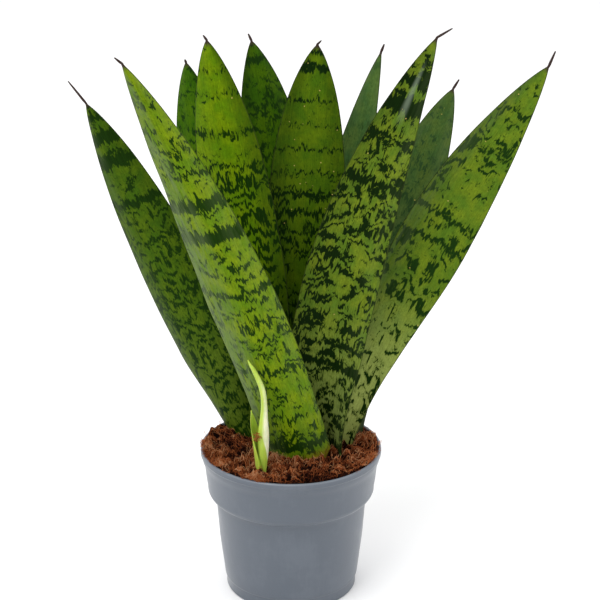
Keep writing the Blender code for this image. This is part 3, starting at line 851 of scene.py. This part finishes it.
# ---- Rhizome ----
class SNAKEPLANT_OT_finish_rhizome(bpy.types.Operator):
    """Give the buried rhizome its skin: buff, ringed by old leaf scars"""

    bl_idname = "snake_plant.finish_rhizome"
    bl_label = "Rhizome"
    bl_options = {"REGISTER", "UNDO"}

    def execute(self, context):
        shader = Shader("rhizome_skin")
        place = shader.place()
        rings = shader.noise(shader.stretch(place, (6.0, 1.0, 1.0)), 120.0, 3.0, 0.6)
        stain = shader.noise(place, 90.0, 4.0, 0.6)
        tint = shader.mix(shader.step(rings, 0.50, 0.62), (0.48, 0.30, 0.12), (0.22, 0.11, 0.04))
        tint = shader.mix(shader.step(stain, 0.45, 0.75, 0.0, 0.6), tint, (0.60, 0.22, 0.06))
        material = shader.finish(tint, 0.65, shader.bump(rings, 0.5, 0.0006), {"IOR": 1.45})
        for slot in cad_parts["rhizome"].material_slots:
            slot.material = material
        return {"FINISHED"}


# ---- Blades ----
def midrib(leaf, t):
    """The midrib's point and direction at t, from 0 at the coir to 1 at the tip."""
    foot = Vector((*leaf.foot, COIR_TOP))
    tip = Vector(leaf.tip)
    handle = (foot + tip) / 2 + 2 * Vector((*leaf.bow, 0.0))
    point = (1 - t) ** 2 * foot + 2 * t * (1 - t) * handle + t**2 * tip
    direction = (1 - t) * (handle - foot) + t * (tip - handle)
    return point, direction.normalized()


def blade_width(leaf, t, least):
    foot_width, full_width = leaf.width
    if t < leaf.peak:
        return blend(foot_width, full_width, smooth(t / leaf.peak))
    past_peak = (t - leaf.peak) / (1 - leaf.peak)
    return max(full_width * (1 - past_peak**leaf.taper) ** TIP_FULLNESS, least)


def blade_curl(leaf, t):
    foot_curl, middle_curl, tip_curl = leaf.curl
    if t < 0.5:
        return math.radians(blend(foot_curl, middle_curl, smooth(2 * t)))
    return math.radians(blend(middle_curl, tip_curl, smooth(2 * t - 1)))


def blade_rows(leaf, leaves, thickness):
    """Each cross-section as centre, t, width and thickness, from the buried end to the spike."""
    foot, direction = midrib(leaf, 0.0)
    spike = min(leaves.spike, thickness)
    rows = []
    for k in range(8, 0, -1):
        depth = leaves.buried * k / 8
        width = leaf.width[0] * blend(1.0, 0.62, k / 8)
        rows.append((foot - direction * depth, -depth / 0.28, width, thickness))
    for k in range(leaves.rows + 1):
        t = 1 - (1 - k / leaves.rows) ** 1.15
        width = blade_width(leaf, t, spike)
        local = blend(thickness, min(leaves.tip_thickness, thickness), smooth(t))
        rows.append((midrib(leaf, t)[0], t, width, local))
    tip = Vector(leaf.tip)
    reach = Vector(leaf.spike)
    for k in range(1, 9):
        girth = spike * blend(1.15, 0.55, (k / 8) ** 2)
        rows.append((tip + reach * k / 8, 1.0 + 0.01 * k, girth, girth))
    return rows


def blade_mesh(leaf, leaves, thickness, seed, relief=1.0):
    """A blade as rings of points, and the attributes that its markings are laid out by.

    blade holds the distance across from the midrib and along from the coir, in mm, and a seed;
    reach holds the same as fractions, and the distance from the margin in mm.
    """
    columns = leaves.columns
    points = []
    blade = []
    reach = []
    along = -leaves.buried / MM
    previous = None
    for centre, t, width, local in blade_rows(leaf, leaves, thickness):
        if previous is not None:
            along += (centre - previous).length / MM
        previous = centre
        shown = min(max(t, 0.0), 1.0)
        direction = midrib(leaf, shown)[1]
        facing = math.radians(blend(*leaf.facing, smooth(shown)))
        hollow = Vector((math.sin(facing), -math.cos(facing), 0.0))
        hollow = (hollow - hollow.dot(direction) * direction).normalized()
        side = direction.cross(hollow)
        curl = blade_curl(leaf, shown)
        fade = relief * smooth(width / 0.02) * smooth(t / 0.05)
        sway = noise.noise(Vector((along * 0.045, seed * 9.1, 0.0)))
        width *= 1 + 0.012 * sway * fade
        radius = width / curl
        for k in range(columns):
            turn = math.tau * k / columns
            across = math.cos(turn)
            mm_across = across * width / 2 / MM
            ripple = noise.noise(Vector((along * 0.028, seed * 3.7 + 2.0 * across, 1.5)))
            furrow = noise.noise(Vector((mm_across * 0.33, along * 0.006, seed * 5.3)))
            rib = noise.noise(Vector((mm_across * 0.9, along * 0.010, seed * 2.9)))
            lift = leaves.ripple * ripple * abs(across) ** 2.5 * fade
            lift += leaves.furrow * (furrow + 0.35 * rib) * fade * (1 - across**4)
            offset = math.sin(turn) * local / 2 * blend(1.0, 0.62, across**2) + lift
            angle = across * curl / 2
            outward = hollow * math.cos(angle) - side * math.sin(angle)
            aside = side * radius * math.sin(angle)
            spot = centre + aside + hollow * radius * (1 - math.cos(angle))
            points.append(spot + outward * offset)
            blade.append((mm_across, along, seed * 47.0))
            reach.append((across, t, width / 2 / MM * (1 - abs(across))))
    faces = ring_faces(len(points) // columns, columns)
    mesh = mesh_from(leaf.node, points, faces)
    set_attribute(mesh, "blade", blade)
    set_attribute(mesh, "reach", reach)
    return mesh


def band_stops(bands):
    """Ramp stops that rise to each band's strength and fall again."""
    stops = [(0.0, 0.0)]
    for place, reach, strength in bands:
        low = max(place - reach, stops[-1][0] + 0.001)
        stops += [(low, 0.0), (max(place, low + 0.001), strength), (place + reach, 0.0)]
    return [(min(place, 1.0), level) for place, level in stops]


def leaf_pull(shader, plane, u):
    """How far the marks are pulled along the blade, in mm: fine teeth on wavy scallops."""
    coarse = shader.noise(shader.stretch(plane, (1.0, 0.10, 1.0)), 0.95, 0.0)
    fine = shader.noise(shader.stretch(plane, (1.0, 0.16, 1.0)), 2.40, 0.0)
    teeth = shader.plus(shader.swing(coarse, 3.6), shader.swing(fine, 1.8))
    sway = shader.noise(shader.stretch(plane, (1.0, 0.45, 1.0)), 0.09, 1.0)
    shifted = shader.plus(u, shader.swing(sway, 16.0))
    arch = shader.math("ABSOLUTE", shader.math("SINE", shader.times(shifted, 0.30)))
    return teeth, shader.plus(teeth, shader.times(arch, 4.0))


def leaf_marks(shader, skin, plane, u, v, seed, t):
    """How strongly the skin is marked: scalloped thin marks, blotches and broad bands."""
    teeth, pull = leaf_pull(shader, plane, u)
    field = shader.noise(shader.stretch(plane, (1.0, 0.75, 1.0)), 0.085, 1.0, 0.45)
    phase = shader.times(shader.plus(v, pull), 1.0 / skin.spacing)
    phase = shader.plus(phase, shader.times(field, skin.loops))
    row = shader.math("FLOOR", phase)
    off_line = shader.math("ABSOLUTE", shader.less(shader.math("FRACT", phase), 0.5))
    lane = shader.join(u, shader.times(row, 37.0), seed)
    gap = shader.noise(lane, 0.15, 2.0, 0.6)
    low = 0.38 + 0.22 * skin.gaps
    full = shader.step(gap, low, low + 0.12, 0.0, 0.5 * skin.lines)
    full = shader.times(full, shader.step(t, skin.zone[0], skin.zone[1], 1.0, 0.0))
    inner = shader.less(off_line, full)
    thin = shader.step(inner, -0.05, 0.01, 1.0, 0.0)
    halo = shader.times(shader.step(inner, 0.0, 0.16, 1.0, 0.0), shader.step(full, 0.0, 0.08))

    # Short dashes gather near the marks, and blotches fill a share of the skin.
    dash = shader.noise(shader.stretch(plane, (1.0, 0.34, 1.0)), 1.25, 1.0, 0.6)
    dash = shader.step(shader.plus(dash, shader.times(halo, 0.10)), 0.70, 0.74)
    pulled = shader.join(u, shader.plus(v, shader.times(teeth, 0.5)), seed)
    spots = shader.noise(shader.stretch(pulled, (0.8, 1.0, 1.0)), skin.grain, 3.0, 0.60)
    level = 0.74 - 0.46 * skin.marbling
    blotch = shader.step(spots, level, level + 0.025)
    near = shader.step(spots, level - 0.07, level)

    # The bands come where the table puts them, ragged by the same teeth.
    place = shader.plus(t, shader.times(pull, 0.0030))
    band = shader.ramp(place, band_stops(skin.bands))
    patchy = shader.noise(shader.stretch(plane, (0.8, 0.26, 1.0)), 0.55, 3.0, 0.65)
    solid = shader.step(shader.plus(band, shader.swing(patchy, 0.55)), 0.40, 0.52)
    solid = shader.times(solid, shader.step(band, 0.05, 0.3))
    marks = shader.most(shader.most(thin, blotch), solid)
    marks = shader.most(marks, shader.times(dash, 0.75))
    soft = shader.most(shader.most(halo, near), shader.step(band, 0.15, 0.6))
    return marks, soft


def leaf_ground(shader, skin, plane, streak, t):
    """The green between the marks: fine fibre streaks over yellower and deeper clouds."""
    light = skin.light
    yellow = (light[0] * 1.26, light[1] * 1.12, light[2])
    deep = (light[0] * 0.72, light[1] * 0.86, light[2])
    cloud = shader.noise(shader.stretch(plane, (1.0, 0.7, 1.0)), 0.085, 3.0, 0.6)
    ground = shader.mix(shader.step(cloud, 0.34, 0.66), deep, yellow)
    # Towards the foot the ground turns to the low colour: paler on some leaves, painted shade on
    # the inner ones.
    if skin.low_from:
        ground = shader.mix(shader.step(t, 0.03, skin.low_from, 1.0, 0.0), ground, skin.low)
    fibre = shader.step(streak, 0.28, 0.72, 0.84, 1.13)
    mottle = shader.noise(shader.stretch(plane, (1.0, 0.55, 1.0)), 0.80, 4.0, 0.75)
    shade = shader.times(fibre, shader.step(mottle, 0.34, 0.66, 0.86, 1.13))
    return shader.shaded(ground, shade)


def leaf_flanks(shader, skin, leaves, plane, across, t, tint):
    """Painted shade and grey painted sheen towards each margin, a pale painted highlight streak
    near the tip, then corky flecks.
    """
    left = shader.step(across, skin.flank, skin.flank + 0.65)
    right = shader.step(across, -0.20, -0.90)
    if skin.shadow != (0.0, 0.0):
        dim_left = shader.times(left, skin.shadow[0])
        dim = shader.plus(dim_left, shader.times(right, skin.shadow[1]))
        tint = shader.mix(dim, tint, skin.dark)
    haze = shader.noise(shader.stretch(plane, (1.0, 0.12, 1.0)), 0.35, 3.0, 0.6)
    # Painted sheen: grey-green towards the margins, broken up by the haze.
    painted_sheen_left = shader.times(left, skin.sheen[0])
    painted_sheen = shader.plus(painted_sheen_left, shader.times(right, skin.sheen[1]))
    painted_sheen = shader.times(painted_sheen, shader.step(haze, 0.25, 0.7))
    tint = shader.mix(painted_sheen, tint, leaves.painted_sheen)
    # Painted highlight: a pale grey streak near the tip.
    if skin.streak[1]:
        aside = shader.math("ABSOLUTE", shader.less(across, skin.streak[0]))
        tip_highlight = shader.step(aside, 0.02, 0.26, skin.streak[1], 0.0)
        ends = shader.times(shader.step(t, 0.80, 0.86), shader.step(t, 0.90, 0.96, 1.0, 0.0))
        tint = shader.mix(shader.times(tip_highlight, ends), tint, (0.18, 0.23, 0.16))
    if skin.flecks:
        bead = shader.cells(plane, 0.22)
        lot = shader.split(shader.cells(plane, 0.22, "Color"))[0]
        rare = 1.0 - 0.45 * skin.flecks
        chance = shader.step(lot, rare, rare + 0.001)
        size = shader.step(bead, 0.06, 0.12, 1.0, 0.0)
        tint = shader.mix(shader.times(chance, size), tint, leaves.cork)
    return tint, haze


def leaf_material(name, skin, leaves):
    """A leaf's skin: ragged crossbands and fine scallops on green, with a thin dark margin."""
    shader = Shader(name)
    u, v, seed = shader.split(shader.attribute("blade"))
    across, t, inwards = shader.split(shader.attribute("reach"))
    plane = shader.join(u, v, seed)
    streak = shader.noise(shader.stretch(plane, (1.0, 0.035, 1.0)), 2.1, 3.0, 0.6)
    marks, soft = leaf_marks(shader, skin, plane, u, v, seed, t)
    ground = leaf_ground(shader, skin, plane, streak, t)
    between = [blend(a, b, 0.45) for a, b in zip(skin.light, skin.dark)]
    ground = shader.mix(shader.times(soft, 0.45), ground, between)
    mark_tint = shader.mix(shader.step(streak, 0.3, 0.75), skin.dark, [c * 1.7 for c in skin.dark])
    tint = shader.mix(marks, ground, mark_tint)
    tint, haze = leaf_flanks(shader, skin, leaves, plane, across, t, tint)
    if skin.ember:
        ember = shader.step(shader.plus(t, shader.times(streak, 0.02)), 0.030, 0.0)
        tint = shader.mix(shader.times(ember, skin.ember), tint, (0.30, 0.17, 0.01))
    rim = shader.step(inwards, 0.25, 0.75, 1.0, 0.0)
    tint = shader.mix(shader.times(rim, 0.7), tint, leaves.margin)
    dry = shader.step(shader.plus(t, shader.swing(streak, 0.01)), 0.982, 0.998)
    tint = shader.mix(dry, tint, leaves.horn)
    worn = shader.plus(haze, shader.times(streak, 0.5))
    gloss = shader.step(worn, 0.4, 1.1, 0.34, 0.52)
    relief = shader.plus(streak, shader.times(haze, 0.8))
    fixed = {"IOR": 1.40, "Specular IOR Level": 0.03}
    return shader.finish(tint, gloss, shader.bump(relief, 0.22, 0.0005), fixed)


class SNAKEPLANT_OT_add_leaves(bpy.types.Operator):
    """Add the ten leaves, each with its own markings"""

    bl_idname = "snake_plant.add_leaves"
    bl_label = "Leaves"
    bl_options = {"REGISTER", "UNDO"}

    def execute(self, context):
        leaves = settings("leaves")
        for number, leaf in enumerate(LEAVES):
            mesh = blade_mesh(leaf, leaves, leaves.thickness, number + 1)
            material = leaf_material(leaf.node + "_skin", SKINS[leaf.node], leaves)
            add_piece(leaf.node.replace("leaf_", "blade_"), mesh, material, "leaf_skin", leaf.node)
        return {"FINISHED"}


# ---- Sprout ----
def spear_mesh(columns=40, rows=90):
    """The young leaf, rolled up round itself: one edge shows as a seam along it."""
    stations = [Vector(item) for item in SPEAR]
    points = []
    reach = []
    for row in range(rows + 1):
        place = row / rows * (len(stations) - 1)
        k = min(int(place), len(stations) - 2)
        part = place - k
        before = stations[max(k - 1, 0)]
        after = stations[min(k + 2, len(stations) - 1)]
        start, end = stations[k], stations[k + 1]
        item = 0.5 * (
            2 * start + (end - before) * part
            + (2 * before - 5 * start + 4 * end - after) * part**2
            + (3 * start - before - 3 * end + after) * part**3
        )
        run = (end - start).to_3d().normalized()
        side = Vector((0.0, 1.0, 0.0)).cross(run).normalized()
        back = run.cross(side)
        for step in range(columns):
            turn = math.tau * step / columns
            roll = blend(0.93, 1.07, step / (columns - 1))
            radius = item.w * roll
            angle = turn + 2.2
            rolled = side * math.cos(angle) + back * math.sin(angle)
            points.append(item.to_3d() + rolled * radius)
            reach.append((turn / math.tau, row / rows, math.cos(angle)))
    mesh = mesh_from("spear", points, ring_faces(rows + 1, columns))
    set_attribute(mesh, "reach", reach)
    return mesh


def sprout_material(name, fresh, pale, foot):
    """Young tissue: soft, streaked lengthwise, paler where the light hasn't reached it."""
    shader = Shader(name)
    place = shader.place()
    t, side = shader.split(shader.attribute("reach"))[1:]
    streak = shader.noise(shader.stretch(place, (1.0, 1.0, 0.04)), 2600.0, 2.0, 0.6)
    cloud = shader.noise(place, 120.0, 3.0)
    low = shader.step(t, 0.35, 0.80, 1.0, 0.0)
    right = shader.step(side, -0.45, 0.45)
    hem = shader.plus(t, shader.times(side, 0.14))
    bare = shader.times(low, shader.step(hem, 0.27, 0.30))
    pallor = shader.times(bare, right)
    tint = shader.mix(pallor, fresh, pale)
    tint = shader.mix(shader.step(cloud, 0.35, 0.75, 0.0, 0.35), tint, foot)
    fibre = shader.step(streak, 0.3, 0.7, 0.86, 1.08)
    tint = shader.shaded(tint, fibre)
    normal = shader.bump(streak, 0.2, 0.0003)
    gloss = shader.step(cloud, 0.3, 0.7, 0.36, 0.50)
    fixed = {"IOR": 1.42, "Subsurface Weight": 0.15, "Subsurface Scale": 0.002}
    return shader.finish(tint, gloss, normal, fixed)


def wisp_mesh(centre, count, rng):
    """A wisp of coir that the shoot has carried up with it."""
    points = []
    faces = []
    for _ in range(count):
        spread = (rng.gauss(0, 0.0008), rng.gauss(0, 0.0003), rng.gauss(0, 0.0016))
        spot = Vector(centre) + Vector(spread)
        run = Vector((rng.uniform(-1, 1), rng.uniform(-0.3, 0.3), rng.uniform(-1, 1))) * 0.0004
        path = []
        for _ in range(6):
            path.append(spot.copy())
            spot += run
            run.rotate(Euler((0.0, rng.uniform(-0.7, 0.7), 0.0)))
        add_tube(points, path, [rng.uniform(0.00012, 0.00024)] * 6, faces)
    mesh = mesh_from("coir_wisp", points, faces)
    set_attribute(mesh, "shade", [(rng.random(), 0.0, 0.0) for _ in points])
    return mesh


class SNAKEPLANT_OT_add_sprout(bpy.types.Operator):
    """Add the young shoot: its rolled spear and the sheath round its foot"""

    bl_idname = "snake_plant.add_sprout"
    bl_label = "Sprout"
    bl_options = {"REGISTER", "UNDO"}

    def execute(self, context):
        sprout = settings("sprout")
        leaves = settings("leaves")
        spear_skin = sprout_material("spear_skin", sprout.lime, sprout.cream, sprout.green)
        sheath_skin = sprout_material("sheath_skin", sprout.green, sprout.lime, sprout.lime)
        sheath = blade_mesh(SHEATH, leaves, sprout.sheath_thickness, 20, 0.3)
        add_piece("spear", spear_mesh(), spear_skin, "spear_skin", "sprout_spear")
        add_piece("sheath", sheath, sheath_skin, "sheath_skin", "sprout_sheath")
        coir = settings("coir")
        wisp = wisp_mesh(WISP_PLACE, WISP_FIBRES, random.Random(5))
        wisp_skin = fibre_material("wisp", coir.russet, coir.tan, coir.tan)
        add_piece("coir_wisp", wisp, wisp_skin, "coir")
        return {"FINISHED"}


# ---- Stage ----
CAMERA_PLACE = (0.0060, -1.0883, 0.6053)
LIGHTS_AIM = (0.0, 0.0, 0.2)
# Each light's name, place, width and height, and power in watts.
SOFTBOXES = (
    ("key", (-0.8, -0.9, 1.7), (1.3, 1.3), 22.0),
    ("fill", (1.3, -0.5, 1.2), (1.2, 1.2), 6.0),
    ("back", (-0.4, 1.4, 1.6), (1.6, 1.0), 8.0),
)


def add_softbox(name, place, size, power):
    light = bpy.data.lights.new(name, "AREA")
    light.shape = "RECTANGLE"
    light.size = size[0]
    light.size_y = size[1]
    light.energy = power
    holder = bpy.data.objects.new(name, light)
    holder.location = place
    towards = Vector(LIGHTS_AIM) - Vector(place)
    holder.rotation_euler = towards.to_track_quat("-Z", "Y").to_euler()
    bpy.context.scene.collection.objects.link(holder)


class SNAKEPLANT_OT_add_stage(bpy.types.Operator):
    """Add the pale floor, the studio lights and the camera"""

    bl_idname = "snake_plant.add_stage"
    bl_label = "Stage"
    bl_options = {"REGISTER", "UNDO"}

    def execute(self, context):
        stage = settings("stage")
        scene = context.scene
        scene.view_settings.view_transform = "Standard"
        half = stage.floor / 2
        corners = [(-half, -half, 0.0), (half, -half, 0.0), (half, half, 0.0), (-half, half, 0.0)]
        mesh = mesh_from("floor", corners, [(0, 1, 2, 3)])
        shader = Shader("studio_floor")
        place = shader.place()
        cloud = shader.noise(place, 3.0, 3.0)
        tint = shader.mix(cloud, (0.83, 0.83, 0.835), (0.86, 0.86, 0.86))
        grain = shader.bump(cloud, 0.02, 0.001)
        mesh.materials.append(shader.finish(tint, 0.9, grain, {"IOR": 1.3}))
        floor = bpy.data.objects.new("floor", mesh)
        scene.collection.objects.link(floor)

        world = bpy.data.worlds.new("studio")
        world.use_nodes = True
        sky = world.node_tree.nodes["Background"]
        sky.inputs["Color"].default_value = (1.0, 1.0, 1.0, 1.0)
        sky.inputs["Strength"].default_value = 1.05
        scene.world = world

        for softbox in SOFTBOXES:
            add_softbox(*softbox)

        lens = bpy.data.cameras.new("camera")
        lens.lens = stage.lens
        lens.sensor_width = 36.0
        lens.clip_end = 50.0
        camera = bpy.data.objects.new("camera", lens)
        camera.location = CAMERA_PLACE
        camera.rotation_euler = (math.pi / 2 - stage.pitch, 0.0, 0.0)
        scene.collection.objects.link(camera)
        scene.camera = camera
        return {"FINISHED"}


# ---- Panel and registration ----
OPERATORS = (
    SNAKEPLANT_OT_add_pot,
    SNAKEPLANT_OT_add_coir,
    SNAKEPLANT_OT_finish_rhizome,
    SNAKEPLANT_OT_add_leaves,
    SNAKEPLANT_OT_add_sprout,
    SNAKEPLANT_OT_add_stage,
)
SETTINGS = {
    "pot": PotSettings,
    "coir": CoirSettings,
    "leaves": LeafSettings,
    "sprout": SproutSettings,
    "stage": StageSettings,
}


class SNAKEPLANT_PT_build(bpy.types.Panel):
    """The plant's pieces and their settings"""

    bl_label = "Snake Plant"
    bl_idname = "SNAKEPLANT_PT_build"
    bl_space_type = "VIEW_3D"
    bl_region_type = "UI"
    bl_category = "Snake Plant"

    def draw(self, context):
        for operator in OPERATORS:
            self.layout.operator(operator.bl_idname)
        for name in SETTINGS:
            group = settings(name)
            box = self.layout.box()
            box.label(text=name.title())
            for field in type(group).__annotations__:
                box.prop(group, field)


def register():
    for name, group in SETTINGS.items():
        bpy.utils.register_class(group)
        setattr(bpy.types.Scene, "snake_plant_" + name, PointerProperty(type=group))
    for item in (*OPERATORS, SNAKEPLANT_PT_build):
        bpy.utils.register_class(item)


def unregister():
    for item in reversed((*OPERATORS, SNAKEPLANT_PT_build)):
        bpy.utils.unregister_class(item)
    for name, group in SETTINGS.items():
        delattr(bpy.types.Scene, "snake_plant_" + name)
        bpy.utils.unregister_class(group)


def main():
    register()
    bpy.ops.snake_plant.add_pot()
    bpy.ops.snake_plant.add_coir()
    bpy.ops.snake_plant.finish_rhizome()
    bpy.ops.snake_plant.add_leaves()
    bpy.ops.snake_plant.add_sprout()
    bpy.ops.snake_plant.add_stage()
    bpy.context.view_layer.update()


if __name__ == "__main__":
    main()
